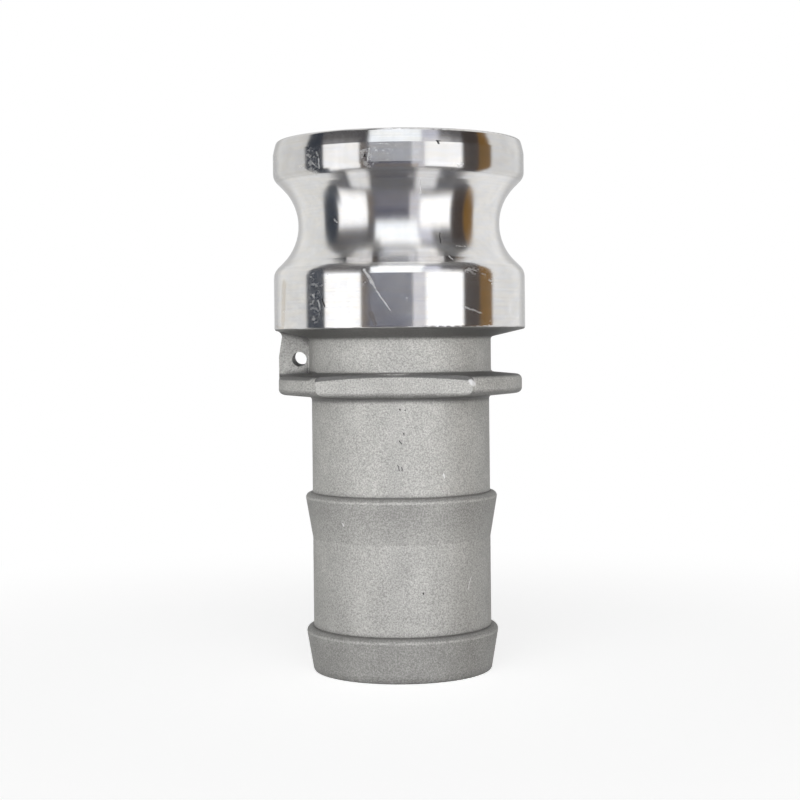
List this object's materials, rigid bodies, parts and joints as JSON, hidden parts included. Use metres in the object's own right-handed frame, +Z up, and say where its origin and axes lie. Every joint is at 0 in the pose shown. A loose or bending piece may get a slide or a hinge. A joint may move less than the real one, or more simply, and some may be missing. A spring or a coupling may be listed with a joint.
{
  "type": "cam and groove adapter with hose shank",
  "caption": "Male half of a cam and groove coupling: a turned head with a cam groove on a barbed hose shank, with a flatted collar and a pierced lug at its neck.",
  "frame": {"origin": "middle of the flat hose end, which the adapter stands on", "axes": "+Z up the bore towards the grooved head, the pierced lug on the -X side, the collar's flats facing -Y and +Y"},
  "size_m": [0.0534, 0.0534, 0.112],
  "materials": {
    "cast_aluminium": "matt shot-blasted casting, with the grooved head turned bright"
  },
  "bodies": {
    "root": {"adapter_body": "cast_aluminium"}
  },
  "joints": []
}
